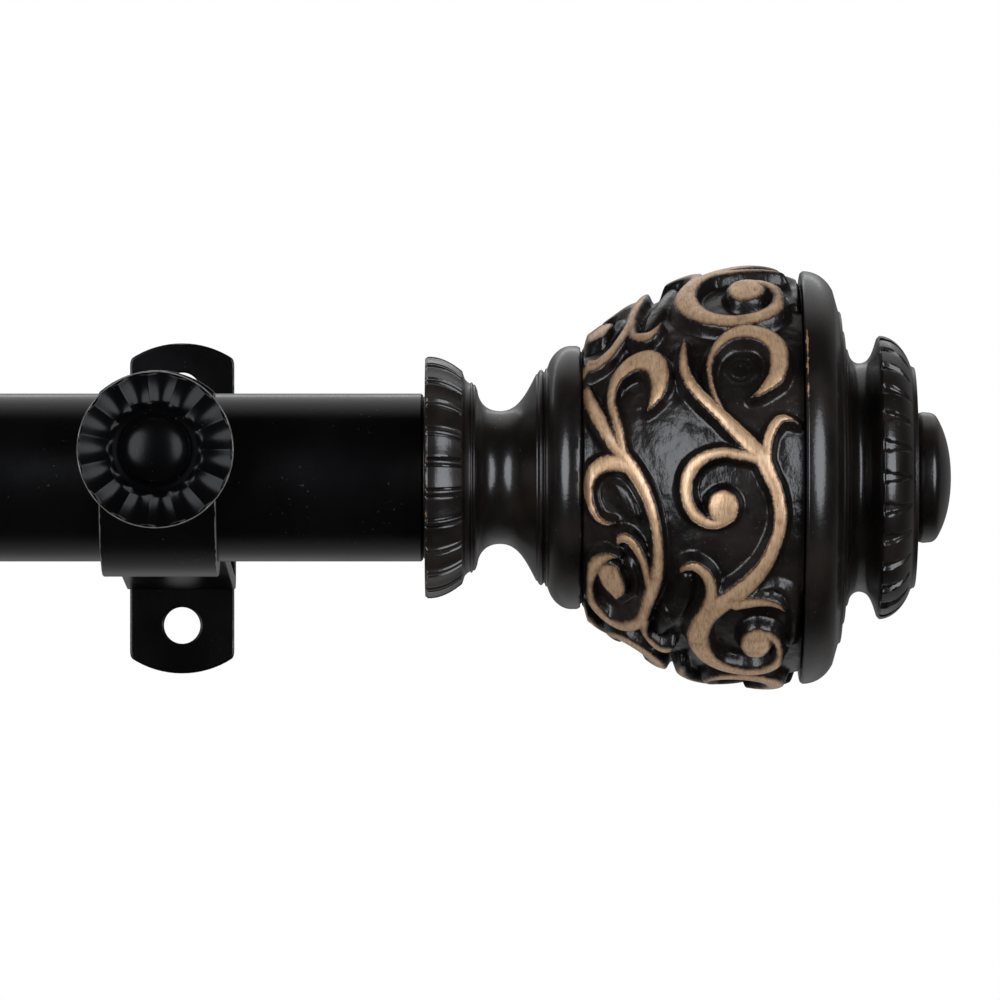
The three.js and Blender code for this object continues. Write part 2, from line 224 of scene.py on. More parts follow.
def drilled(mesh, cutters):
    """The mesh with each cutter's space taken out of it."""
    blank = bpy.data.objects.new("blank", mesh)
    tools = [bpy.data.objects.new("cutter", cutter) for cutter in cutters]
    for made in (blank, *tools):
        bpy.context.scene.collection.objects.link(made)
    for tool in tools:
        cut = blank.modifiers.new("cut", "BOOLEAN")
        cut.operation = "DIFFERENCE"
        cut.solver = "EXACT"
        cut.object = tool
    depsgraph = bpy.context.evaluated_depsgraph_get()
    result = bpy.data.meshes.new_from_object(blank.evaluated_get(depsgraph))
    for made in (blank, *tools):
        bpy.data.objects.remove(made)
    return result


def piece(name, mesh, look, node, sharp=35):
    """Shows the mesh in place of a CAD node, riding on the node's body."""
    mesh.polygons.foreach_set("use_smooth", [True] * len(mesh.polygons))
    mesh.set_sharp_from_angle(angle=math.radians(sharp))
    mesh.materials.clear()
    mesh.materials.append(look)
    made = bpy.data.objects.new(name, mesh)
    bpy.context.scene.collection.objects.link(made)
    weighted = made.modifiers.new("even_shading", "WEIGHTED_NORMAL")
    weighted.keep_sharp = True
    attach(made, BODY_OF[node])
    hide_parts(node)


# ---- Materials ----

class Graph:
    """A node tree, built one node at a time."""

    def __init__(self, tree):
        self.nodes = tree.nodes
        self.links = tree.links

    def add(self, kind, output, inputs=None, **settings):
        """Adds a node, sets its inputs by name or number, and gives one of its outputs."""
        node = self.nodes.new("ShaderNode" + kind)
        for key, value in settings.items():
            setattr(node, key, value)
        for key, value in (inputs or {}).items():
            self.feed(node.inputs[key], value)
        return node.outputs[output]

    def feed(self, socket, value):
        if isinstance(value, bpy.types.NodeSocket):
            self.links.new(value, socket)
        else:
            socket.default_value = value

    def ramp(self, value, low, high, start=0.0, end=1.0):
        inputs = {"Value": value, "From Min": low, "From Max": high, "To Min": start, "To Max": end}
        return self.add("MapRange", "Result", inputs, interpolation_type="SMOOTHSTEP")

    def maths(self, operation, first, second=0.0, third=0.0):
        return self.add("Math", "Value", {0: first, 1: second, 2: third}, operation=operation)

    def times(self, first, second):
        return self.maths("MULTIPLY", first, second)

    def blend(self, amount, first, second):
        return self.add("MixRGB", "Color", {"Fac": amount, "Color1": first, "Color2": second})


class Look(Graph):
    """A procedural material. Grain sizes and bump depths are in millimetres."""

    def __init__(self, name):
        self.material = bpy.data.materials.new(name)
        self.material.use_nodes = True
        super().__init__(self.material.node_tree)
        self.shader = self.nodes["Principled BSDF"]
        self.place = self.add("TexCoord", "Object")

    def shade(self, **values):
        """Sets the shader's inputs, named with underscores for spaces."""
        for key, value in values.items():
            self.feed(self.shader.inputs[key.replace("_", " ")], value)
        return self.material

    def attribute(self, name):
        return self.add("Attribute", "Fac", attribute_name=name)

    def noise(self, size, detail=2.0, roughness=0.5, stretch=(1, 1, 1), offset=0.0):
        scale = [1 / (size * MM * along) for along in stretch]
        shift = (offset, offset, offset)
        inputs = {"Vector": self.place, "Scale": scale, "Location": shift}
        place = self.add("Mapping", "Vector", inputs)
        inputs = {"Vector": place, "Scale": 1.0, "Detail": detail, "Roughness": roughness}
        return self.add("TexNoise", "Fac", inputs)

    def bump(self, height, depth, under=None):
        """Raises the surface by height, from 0 to 1, times depth."""
        inputs = {"Height": height, "Distance": depth * MM, "Strength": 1.0}
        if under:
            inputs["Normal"] = under
        return self.add("Bump", "Normal", inputs)


BLACK = (0.0005, 0.0005, 0.0006, 1)
SOFT_BLACK = (0.0010, 0.0010, 0.0011, 1)
LACQUER = (0.0022, 0.0016, 0.0013, 1)
LACQUER_THIN = (0.0062, 0.0043, 0.0033, 1)
DUST = (0.026, 0.024, 0.022, 1)
STEEL_GREY = (0.15, 0.14, 0.13, 1)
GOLD = (0.40, 0.268, 0.160, 1)
GOLD_PALE = (0.53, 0.40, 0.28, 1)
GOLD_DARK = (0.15, 0.082, 0.042, 1)
RUBBED_BROWN = (0.16, 0.09, 0.05, 1)


def dust(look):
    """Sparse pale specks, each a fraction of a millimetre across."""
    speck = look.ramp(look.noise(0.38, detail=0.0), 0.80, 0.83)
    patch = look.ramp(look.noise(9, detail=1.0, offset=3.1), 0.50, 0.66)
    return look.times(speck, patch)


def enamel(name, base, gloss, peel, shine=0.2):
    """Black enamel on steel: an orange-peel skin, dull patches, dust, and edges worn to grey."""
    look = Look(name)
    cloud = look.noise(14, detail=3.0)
    skin = look.noise(0.9, roughness=0.6)
    pores = look.noise(0.28, detail=1.0, offset=7.7)
    wear = look.maths("ADD", look.attribute("wear"), look.noise(1.3, detail=3.0, offset=1.7))
    bare = look.ramp(wear, 1.22, 1.42)
    specks = dust(look)
    colour = look.blend(look.ramp(cloud, 0.3, 0.7), base, SOFT_BLACK)
    colour = look.blend(look.times(specks, 0.6), colour, DUST)
    colour = look.blend(bare, colour, STEEL_GREY)
    rough = look.ramp(cloud, 0.25, 0.75, gloss - 0.03, gloss + 0.05)
    rough = look.maths("MULTIPLY_ADD", bare, 0.12, rough)
    normal = look.bump(skin, peel)
    normal = look.bump(pores, peel * 0.35, normal)
    return look.shade(Base_Color=colour, Roughness=rough, Metallic=look.times(bare, 0.7),
                      Specular_IOR_Level=shine, Normal=normal)


def lacquer_parts(look):
    """The black lacquer's colour, roughness and normal, for a turned or a gilded piece."""
    cloud = look.noise(8, detail=3.0, offset=5.3)
    skin = look.noise(0.6)
    brush = look.noise(0.5, stretch=(1, 9, 9), offset=2.2)
    colour = look.blend(look.ramp(cloud, 0.38, 0.72), LACQUER, LACQUER_THIN)
    colour = look.blend(look.times(dust(look), 0.7), colour, DUST)
    rough = look.ramp(cloud, 0.25, 0.75, 0.38, 0.50)
    normal = look.bump(skin, 0.020)
    normal = look.bump(brush, 0.004, normal)
    look.shade(Specular_IOR_Level=0.08, Coat_Weight=0.65, Coat_Roughness=0.21)
    return colour, rough, normal


def turned_lacquer(name):
    """Black lacquer over gold, rubbed through in specks and along the rims."""
    look = Look(name)
    colour, rough, normal = lacquer_parts(look)
    scatter = look.noise(0.8, detail=3.0, roughness=0.65, stretch=(1, 1.5, 1.5), offset=4.1)
    rub = look.maths("ADD", look.attribute("rub"), scatter)
    brown = look.ramp(rub, 0.84, 0.96)
    gold = look.ramp(rub, 0.98, 1.06)
    speck = look.ramp(look.noise(0.36, detail=1.0, offset=9.4), 0.815, 0.84)
    gold = look.maths("MAXIMUM", gold, speck)
    colour = look.blend(look.times(brown, 0.75), colour, RUBBED_BROWN)
    colour = look.blend(gold, colour, GOLD)
    return look.shade(Base_Color=colour, Roughness=rough, Metallic=look.times(gold, 0.9),
                      Normal=normal, Coat_Normal=normal)


def gilded_lacquer(name):
    """Black lacquer whose scroll tops are wiped with antique gold. The mesh's gilt attribute is how
    far, in millimetres, a point lies inside a gilded scroll."""
    look = Look(name)
    colour, rough, normal = lacquer_parts(look)
    inside = look.attribute("gilt")
    ragged = look.noise(0.7, detail=3.0, roughness=0.6, stretch=(1, 1.4, 1.4), offset=6.1)
    reach = look.maths("MULTIPLY_ADD", look.maths("SUBTRACT", ragged, 0.5), 0.5, inside)
    gold = look.ramp(reach, -0.02, 0.34)
    grain = look.noise(0.24, detail=3.0, roughness=0.6, stretch=(1, 5, 5), offset=8.2)
    patina = look.noise(2.6, detail=4.0, roughness=0.62, offset=1.1)
    tone = look.blend(look.ramp(grain, 0.28, 0.62, 0.45), GOLD_DARK, GOLD)
    tone = look.blend(look.ramp(patina, 0.50, 0.72, 0.0, 0.55), tone, GOLD_DARK)
    tone = look.blend(look.ramp(patina, 0.46, 0.30, 0.0, 0.45), tone, GOLD_PALE)
    tone = look.blend(look.ramp(reach, 0.02, 0.75), GOLD_DARK, tone)
    scratch = look.ramp(look.noise(0.2, stretch=(1, 12, 12), offset=3.9), 0.68, 0.74)
    tone = look.blend(look.times(scratch, 0.5), tone, LACQUER_THIN)
    strayed = look.ramp(look.noise(0.34, stretch=(1, 1.6, 1.6), offset=5.5), 0.69, 0.75)
    near_scroll = look.ramp(inside, -3.0, -0.4, 0.2, 0.6)
    gold = look.maths("MAXIMUM", gold, look.times(strayed, near_scroll))
    bare = look.maths("SUBTRACT", 1.0, gold)
    wrinkle = look.noise(1.0, detail=4.0, roughness=0.62, stretch=(1, 1.8, 1.8), offset=7.3)
    swell = look.noise(3.4, detail=1.5, offset=4.4)
    normal = look.bump(look.times(swell, bare), 0.42, normal)
    normal = look.bump(look.times(wrinkle, bare), 0.10, normal)
    normal = look.bump(grain, 0.008, normal)
    rough = look.blend(gold, rough, look.ramp(grain, 0.2, 0.8, 0.53, 0.42))
    return look.shade(Base_Color=look.blend(gold, colour, tone), Roughness=rough,
                      Metallic=look.times(gold, 0.72),
                      Coat_Weight=look.ramp(bare, 0.0, 1.0, 0.30, 0.50), Normal=normal,
                      Coat_Normal=normal)


def nylon(name):
    look = Look(name)
    cloud = look.noise(5, detail=3.0)
    colour = look.blend(look.ramp(cloud, 0.3, 0.7), (0.016, 0.016, 0.017, 1), (0.028, 0.028, 0.029, 1))
    colour = look.blend(look.times(dust(look), 0.4), colour, DUST)
    rough = look.ramp(cloud, 0.25, 0.75, 0.5, 0.62)
    return look.shade(Base_Color=colour, Roughness=rough, Normal=look.bump(look.noise(0.4), 0.01))


def bare_metal(name, pale, dark, tool_marks):
    """Machined or plated metal, with fine rings left by the tool or the bath."""
    look = Look(name)
    rings = look.noise(0.12, stretch=tool_marks)
    stain = look.noise(3, detail=4.0, roughness=0.6, offset=2.9)
    colour = look.blend(look.ramp(stain, 0.35, 0.7), pale, dark)
    rough = look.ramp(rings, 0.2, 0.8, 0.26, 0.42)
    return look.shade(Base_Color=colour, Roughness=rough, Metallic=1.0, Normal=look.bump(rings, 0.006))


ROD_LOOK = enamel("rod_enamel", BLACK, 0.20, 0.010)
BRACKET_LOOK = enamel("bracket_enamel", BLACK, 0.21, 0.012)
KNOB_LOOK = enamel("knob_enamel", BLACK, 0.26, 0.008, 0.095)
LACQUER_LOOK = turned_lacquer("black_lacquer")
BOWL_LOOK = gilded_lacquer("gilded_lacquer")
NYLON_LOOK = nylon("black_nylon")
BRASS_LOOK = bare_metal("turned_brass", (0.69, 0.50, 0.22, 1), (0.40, 0.27, 0.11, 1), (1, 12, 12))
ZINC_LOOK = bare_metal("zinc_plate", (0.62, 0.63, 0.65, 1), (0.38, 0.38, 0.38, 1), (2, 2, 2))


# ---- Finials: each height is a distance from the collar's face, outwards along the finial ----

COLLAR_FLUTES = 24
DISC_FLUTES = 28
STUD = {"radius": 2.9, "pitch": 1.0, "in_rod": 11.6, "in_finial": 13.5}


def near(value, centre, width):
    """1 at the centre, falling off to either side."""
    return np.exp(-(((value - centre) / width) ** 2))


def edge_distance(angle, radius, flutes, shift):
    """The distance in mm to the nearest edge between two flutes, and that edge's number."""
    turn = angle * flutes / (2 * math.pi) + shift
    number = np.round(turn).astype(int) % flutes
    return np.abs(turn - np.round(turn)) * 2 * math.pi * radius / flutes, number


def collar_flutes(radius, height, angle):
    """Shallow hollows with a narrow bead, between two grooves, standing at each edge."""
    uneven = np.random.default_rng(4).uniform(-1, 1, COLLAR_FLUTES)
    across, number = edge_distance(angle, radius, COLLAR_FLUTES, 0.5 + 0.012 * np.sin(5 * angle))
    half_width = math.pi * radius / COLLAR_FLUTES
    hollow = np.sin(np.clip((across - 0.75) / (half_width - 0.75), 0, 1) * math.pi / 2)
    depth = 0.34 * near(across, 0.54, 0.15) * (1 + 0.25 * uneven[number])
    depth += 0.13 * hollow + 0.05 * smooth(across, 0.0, 0.34)
    depth *= smooth(height, 0.05, 0.4) * (1 - smooth(height, 5.5, 6.1)) * smooth(radius, 14.6, 15.6)
    rub = 0.30 * near(height, 0.25, 0.30) + 0.26 * near(height, 23.2, 0.22)
    return radius - depth, height, {"rub": rub * smooth(radius, 15, 17)}


def disc_flutes(radius, height, angle):
    """Wedge-shaped notches across the disc's rim, wide where they start and narrow where they end."""
    uneven = np.random.default_rng(7).uniform(-1, 1, DISC_FLUTES)
    along = np.clip((height - 68.6) / 4.4, 0, 1)
    across, number = edge_distance(angle, radius, DISC_FLUTES, 0.0)
    half_width = (0.85 - 0.60 * along) * (1 + 0.12 * uneven[number])
    depth = 0.60 * smooth(half_width + 0.20 - across, 0, 0.56) * smooth(radius, 17.5, 19.0)
    depth *= smooth(height, 68.3, 68.8) * (1 - smooth(height, 72.0, 73.2))
    smear = smooth(np.cos(angle + 0.56), 0.962, 0.992)
    rub = near(height, 56.9, 0.28) * smooth(radius, 29, 30.6) * (0.12 + 0.32 * smear)
    return radius - depth, height, {"rub": rub}


def thread(start, end, core, pitch):
    """A rolled thread's relief on a plain shank, between two heights."""
    def cut(radius, height, angle):
        phase = (height / pitch - angle / (2 * math.pi)) % 1
        groove = smooth(np.abs(phase - 0.5), 0.06, 0.44)
        reach = smooth(height, start, start + pitch) * (1 - smooth(height, end - pitch, end))
        on_shank = np.abs(radius - core) < 0.2
        return radius - 0.55 * pitch * groove * reach * on_shank, height, {}
    return cut


def finial_neck(side):
    """Its low shoulders at the rod and at the bowl nearly meet them, so that the seams are dark."""
    outline = Outline(0, 14).to((3.15, 14), (3.15, 0.1), (3.45, -0.27), (12.2, -0.27), (12.3, 0))
    outline.to((17.95, 0), (18.4, 0.4))
    outline.curve((18.5, 2.3), (17.4, 4.1), (16.45, 5.3))
    outline.to((16.2, 5.6), (14.85, 6.0), (14.5, 6.35), (14.2, 6.8))
    outline.curve((14.75, 6.95), (14.0, 7.3), steps=6)
    outline.curve((14.3, 7.5), (13.4, 7.8), steps=6)
    outline.to((13.1, 7.9))
    outline.curve((11.0, 8.15), (10.05, 9.6), (10.05, 11.3), steps=16)
    outline.curve((10.05, 13.9), (12.3, 15.1), (15.6, 16.75), steps=16)
    outline.to((15.65, 16.95))
    outline.curve((16.75, 17.4), (16.0, 17.85), steps=6)
    outline.to((15.9, 18.0), (16.5, 18.2), (16.45, 18.4), (17.0, 18.6))
    outline.curve((18.3, 19.0), (19.75, 20.2), (19.9, 21.8), steps=14)
    outline.to((19.9, 22.9), (19.65, 23.4), (19.1, 23.42), (19.0, 23.68), (7.7, 23.68))
    outline.to((7.7, 27), (0, 27))
    points = refined(outline.softened(0.12), 0.24, 0.1, 6.2)
    mesh = turned_mesh("neck", points, 25 * COLLAR_FLUTES, finial_place(side), collar_flutes,
                       (COLLAR_FLUTES, 0.5))
    piece(side + "_turned_neck", mesh, LACQUER_LOOK, side + "_finial_neck")


def finial_cap(side):
    outline = Outline(0, 52.3).to((9.7, 52.3), (9.7, 56.32), (28.6, 56.32), (28.7, 56.6))
    outline.to((30.9, 56.6), (31.2, 57.0))
    outline.curve((31.2, 58.4), (30.6, 60.2), (28.4, 61.4), steps=14)
    outline.to((25.2, 62.3), (25.0, 62.65), (24.0, 62.75), (23.8, 62.55), (22.3, 62.9), (22.1, 63.2))
    outline.to((21.3, 63.25), (21.1, 63.05), (19.6, 63.5), (19.3, 63.8), (18.5, 64.0))
    outline.curve((17.0, 64.6), (17.1, 65.8), (17.6, 66.6), steps=9)
    outline.curve((18.1, 67.2), (18.9, 67.6), (21.0, 68.2), steps=8)
    outline.to((21.45, 68.6))
    outline.curve((21.4, 70.3), (19.9, 72.3), (16.9, 73.3))
    outline.to((16.6, 73.9), (4.0, 73.9), (4.0, 69.0), (0, 69.0))
    points = refined(outline.softened(0.10), 0.26, 68.3, 73.3)
    mesh = turned_mesh("cap", points, 24 * DISC_FLUTES, finial_place(side), disc_flutes,
                       (DISC_FLUTES, 0.0))
    piece(side + "_turned_cap", mesh, LACQUER_LOOK, side + "_finial_cap")


def finial_button(side):
    outline = Outline(0, 69.3).to((3.7, 69.3), (3.7, 73.92), (9.0, 73.92), (9.1, 74.2))
    outline.to((9.4, 74.2), (9.75, 74.6), (9.9, 75.2), (9.8, 76.3))
    outline.curve((9.7, 77.0), (8.9, 77.45), steps=8)
    outline.curve((6.7, 78.7), (3.8, 79.45), (0, 79.45), steps=16)
    mesh = turned_mesh("button", outline.softened(0.15), 128, finial_place(side))
    piece(side + "_turned_button", mesh, LACQUER_LOOK, side + "_finial_button")


def finial_stud(side):
    radius, start, end = STUD["radius"], -STUD["in_rod"], STUD["in_finial"]
    outline = Outline(0, start).to((radius - 0.6, start), (radius, start + 0.6), (radius, end - 0.6))
    outline.to((radius - 0.6, end), (0, end))
    points = refined(outline.softened(0.05), 0.11, start + 0.7, end - 0.7)
    cut = thread(start, end, radius, STUD["pitch"])
    mesh = turned_mesh("stud", points, 48, finial_place(side), cut)
    piece(side + "_threaded_stud", mesh, ZINC_LOOK, side + "_finial_stud", sharp=60)


# ---- The bowl's carving: three copies of one motif of two scrolls ----

BOWL_START = 23.7
BOWL_END = 56.3
CARVING_START = 23.1
SCROLL_HEIGHT = 2.0
BODY_HEIGHT = 1.15
CROWN_RISE = 0.35
CROWN_REACH = 0.9
COLUMNS = 690
ROWS = 124
OUTSIDE = -9.0

# The three copies of the motif, as (angle up the front in degrees, shift along in mm, how much
# its far end past WIDE_END is spread along). The carver set them out a little unevenly.
MOTIFS = ((0, 0.0, 1.0), (114, -1.8, 1.5), (-114, 0.0, 1.0))
WIDE_END = 49.6

# The motif's middle and reach to either side, in degrees, and the bowl's radius under its middle.
MOTIF_MIDDLE = -10
MOTIF_REACH = 68
MOTIF_RADIUS = 26

# Each stroke is drawn along its middle, as (distance in mm from CARVING_START along the
# finial, angle in degrees up its front, half width in mm). The tops of these are gilded.
GILDED = {
    "a_leaf": [
        (15.6, 43.2, 0.15), (15.5, 39.9, 0.45), (15.4, 35.7, 0.68), (15.6, 31.7, 0.78),
        (16.6, 26.8, 0.85), (18.4, 22, 0.9), (20.5, 17.7, 0.95), (22.6, 13.5, 1.1), (24.7, 9.5, 1.2),
        (26.4, 6.4, 1.2),
    ],
    "a_hook": [
        (23.4, 11.6, 0.7), (21.6, 15.8, 0.55), (20.7, 19.3, 0.45), (19.9, 23.3, 0.42),
        (19.4, 27.2, 0.42), (19.2, 31.9, 0.48), (20, 37.2, 0.65), (21.8, 41.4, 1), (24.5, 43.1, 1.3),
        (27.3, 41.7, 1.4), (29.2, 37.9, 1.5), (29.6, 32.7, 1.4), (29.1, 28.2, 1.25), (27.9, 25.4, 0.9),
        (26.6, 23.2, 0.5), (25.4, 22, 0.15),
    ],
    "a_curl": [
        (27.7, 1.6, 1), (27.5, 5.9, 0.8), (27.9, 10.7, 0.8), (29, 14.6, 0.8), (30.1, 15.9, 0.6),
        (31.5, 15.4, 0.3), (32.2, 14.6, 0.12),
    ],
    "a_stem": [
        (26.4, 6.4, 1.2), (27.3, 3.4, 1.2), (28.1, 0, 1.1), (28.9, -3.1, 1.05), (29.5, -7.8, 1),
        (29.6, -12.6, 1), (29, -17.3, 1), (28, -22, 1.1), (26.7, -26.1, 1.2), (24.9, -30.3, 1.35),
        (22.7, -34.3, 1.45), (20.6, -38, 1.5), (18.9, -42.2, 1.55), (18, -46.8, 1.6), (17.7, -51.9, 1.7),
        (18.3, -57.2, 1.65), (19.6, -61.6, 1.5), (21.8, -65, 1.35), (24.8, -66.6, 1.25),
        (27.4, -65.7, 1.15), (29.2, -62.5, 0.95), (29.8, -58.2, 0.6), (29.8, -53.7, 0.5),
        (29.1, -49.6, 0.7), (27.9, -47.3, 0.8),
    ],
    "a_ball": [(26.3, -54.4, 1.9), (26.3, -52.4, 2.3), (26.3, -50.1, 2.2), (26.7, -48.3, 1.7)],
    "a_spiral": [
        (27, 4.5, 1), (25.3, 5.4, 0.85), (23.4, 6, 0.78), (21.3, 6.7, 0.75), (18.7, 5.7, 0.88),
        (16.7, 2.8, 1.05), (15.8, -1.2, 1), (15.8, -5.9, 0.95), (16.6, -9.7, 0.95), (18.1, -12.2, 0.9),
        (19.9, -12.9, 0.8), (21.4, -12, 0.8),
    ],
    "a_spiral_ball": [(21.2, -9, 2.2), (21.2, -8, 2.3)],
    "a_low_hook": [
        (14.9, -28.6, 0.12), (15.6, -26.7, 0.5), (17, -25.8, 0.8), (18.5, -27.5, 0.92),
        (19.4, -31, 0.95), (19.5, -35.2, 0.92), (18.8, -39.9, 1), (18, -44.5, 1.2),
    ],
    "a_small_leaf": [
        (23.2, -36.9, 1), (25.4, -36, 0.9), (27.6, -35.9, 0.65), (29.4, -37, 0.45), (30.5, -39, 0.12),
    ],
    "b_leaf": [
        (0.7, 42.5, 0.12), (1.1, 37.9, 0.5), (1.6, 31.8, 0.8), (2.2, 27.1, 0.95), (3, 21.8, 1),
        (4, 16.2, 0.9), (5.2, 10.6, 0.85), (6.6, 6.6, 0.9),
    ],
    "b_hook": [
        (6.8, 5.9, 0.8), (6.3, 10.1, 0.7), (5.9, 15.7, 0.7), (5.3, 21.4, 0.68), (4.8, 26.9, 0.65),
        (4.9, 32.5, 0.72), (5.8, 37.5, 1.1), (7.7, 40.4, 1.6), (9.9, 39.8, 1.7), (11.4, 35.9, 1.6),
        (11.9, 30.8, 1.4), (11.6, 26.4, 1.1), (10.8, 23.3, 0.6), (10.1, 21.3, 0.15),
    ],
    "b_stem": [
        (6.6, 6.6, 1), (7.7, 2.6, 1.1), (8.8, -1.2, 1.05), (9.9, -5.9, 0.98), (10.7, -10.7, 0.9),
        (11.3, -16.3, 0.82), (11.6, -22, 0.82), (11.6, -27.7, 0.85), (11.3, -33.3, 0.95),
        (10.6, -38.9, 0.95), (10.1, -43.5, 0.88), (9.7, -48.1, 0.8), (9.2, -52.6, 0.85),
        (8.3, -57, 0.95), (7.1, -61.3, 1), (5.6, -64.3, 1.2), (4.2, -65, 1.2), (2.8, -62.3, 1.1),
        (1.9, -57.7, 0.75), (1.7, -53, 0.55), (1.6, -47.7, 0.5), (1.8, -42.3, 0.7), (2.2, -36.8, 0.9),
        (3.3, -32.2, 0.8), (4.6, -29.7, 0.45), (5.9, -29.1, 0.1),
    ],
    "b_ball": [(5.5, -48.4, 0.12), (5.4, -45.7, 0.8), (5, -41.5, 1.9), (4.6, -37.8, 1.7), (5, -35.2, 1)],
    "b_tail": [
        (9.7, -51.7, 0.75), (9.7, -56.2, 0.55), (10.1, -60.5, 0.6), (11.9, -64.1, 1), (13.1, -62.9, 0.7),
        (14.1, -60.2, 0.15),
    ],
    "b_left_hook": [
        (7.1, 3.5, 1), (5.2, 5, 1.2), (3.4, 4.6, 1.2), (1.9, 1.6, 1), (1.4, -3.1, 0.75),
        (1.4, -7.8, 0.68), (1.9, -12.5, 0.6), (2.8, -16.1, 0.5), (4, -17.1, 0.35), (5.2, -16.5, 0.1),
    ],
    "b_small_hook": [
        (5.6, -24.6, 0.12), (6, -21.9, 0.6), (7.1, -21, 0.8), (8.4, -23.7, 0.75), (9.4, -27.7, 0.65),
        (10, -32.4, 0.6), (10.5, -37, 0.7),
    ],
}

# The motif's lower bodies, left black.
BLACK_BODIES = {
    "k_low_pod": [
        (15.8, -31, 1), (15.4, -37.1, 1.35), (14.6, -43.6, 1.35), (13.8, -49.1, 1.1), (13.2, -53.6, 0.6),
    ],
    "k_left_pod": [(5, -2.1, 0.5), (6.2, -5.5, 1.1), (7.3, -9.7, 1.2), (8.3, -13, 0.7)],
    "k_spiral_side": [
        (26.7, -33.5, 0.4), (29.3, -32.4, 0.8), (31.2, -35.2, 0.9), (31.9, -39.9, 0.8), (32, -45, 0.7),
        (31.9, -50.1, 0.7), (31.5, -55.5, 0.6),
    ],
    "k_b_body": [(12.8, 36, 0.8), (13.1, 30.7, 0.9), (12.6, 26.4, 0.8)],
    "k_ball_side": [
        (7.7, -32.8, 0.6), (8.5, -37.5, 0.7), (8.4, -42.6, 0.7), (7.5, -47.1, 0.6), (6.6, -50.7, 0.4),
    ],
    "k_tail_pod": [(13.1, -46.3, 0.9), (12.6, -52.7, 1.2), (12, -58, 0.9)],
}

# Fine rings cut in the ground inside the hooks, as (distance, angle, radius).
EYES = ((23.9, 32.4, 2.2), (23.9, 32.4, 1.35), (8.9, 27.4, 1.2))


def bowl_ground(height):
    """The bowl's radius under its carving, by height."""
    outline = Outline(19.3, BOWL_START).to((19.9, 25.0))
    outline.curve((26.4, 34.0), (29.85, 39.0), (29.85, 51.0), steps=40).to((29.8, 53.4), (29.3, BOWL_END))
    radii, heights = np.array(outline.points).T
    return np.interp(height, heights, radii)


def smoothed_stroke(points, spacing=0.22):
    """The stroke's points, joined by a smooth curve (Catmull-Rom) with one every spacing mm."""
    points = np.array(points, float)
    ends = np.vstack([2 * points[0] - points[1], points, 2 * points[-1] - points[-2]])
    samples = []
    for a, b, c, d in zip(ends, ends[1:], ends[2:], ends[3:]):
        gap = math.hypot(c[0] - b[0], math.radians(c[1] - b[1]) * MOTIF_RADIUS)
        for t in np.arange(0, 1, spacing / max(gap, spacing)):
            samples.append(0.5 * (2 * b + (c - a) * t + (2 * a - 5 * b + 4 * c - d) * t ** 2
                                  + (3 * b - a - 3 * c + d) * t ** 3))
    samples.append(points[-1])
    return np.array(samples)


def around_bowl(angle, turn, place):
    """The distance in mm round the bowl from a point of the motif to each grid angle."""
    around = (angle + math.radians(turn) + math.pi) % (2 * math.pi) - math.pi
    return around * bowl_ground(CARVING_START + place)


def inside_strokes(strokes, height, angle):
    """How far in mm each grid point lies inside the nearest stroke, negative outside."""
    depth = np.full(height.shape, OUTSIDE)
    for points in strokes.values():
        for place, turn, half_width in smoothed_stroke(points):
            along = height - (CARVING_START + place)
            across = around_bowl(angle, turn, place)
            np.maximum(depth, half_width - np.hypot(along, across), out=depth)
    return depth


def one_motif(height, angle):
    """The motif's height over the ground, and how far each point lies inside the gilding."""
    gilt = inside_strokes(GILDED, height, angle)
    body = inside_strokes(BLACK_BODIES, height, angle)
    scroll = SCROLL_HEIGHT * smooth(gilt, -0.9, 0.15)
    scroll += CROWN_RISE * (1 - np.exp(-np.clip(gilt, 0, None) / CROWN_REACH))
    raised = np.maximum(scroll, BODY_HEIGHT * smooth(body, -0.9, 0.9))
    for place, turn, radius in EYES:
        from_eye = np.hypot(height - (CARVING_START + place), around_bowl(angle, turn, place))
        raised = np.maximum(raised, 0.14 * near(from_eye, radius, 0.20))
    return raised, gilt


def carving(heights):
    """The three motifs on the bowl's whole grid, each worked out in a window of its own."""
    raised = np.zeros((len(heights), COLUMNS))
    gilt = np.full((len(heights), COLUMNS), OUTSIDE)
    for turn, shift, spread in MOTIFS:
        middle = round(-(turn + MOTIF_MIDDLE) / 360 * COLUMNS)
        reach = round(MOTIF_REACH / 360 * COLUMNS)
        columns = np.arange(middle - reach, middle + reach)
        angle = columns * 2 * math.pi / COLUMNS + math.radians(turn)
        along = heights - shift
        along = np.minimum(along, WIDE_END + (along - WIDE_END) / spread)
        grid = np.meshgrid(along, angle, indexing="ij")
        motif = one_motif(*grid)
        columns %= COLUMNS
        raised[:, columns] = np.maximum(raised[:, columns], motif[0])
        gilt[:, columns] = np.maximum(gilt[:, columns], motif[1])
    ends = smooth(heights, BOWL_START, BOWL_START + 0.9) * (1 - smooth(heights, BOWL_END - 0.6, BOWL_END))
    return raised * ends[:, None], gilt


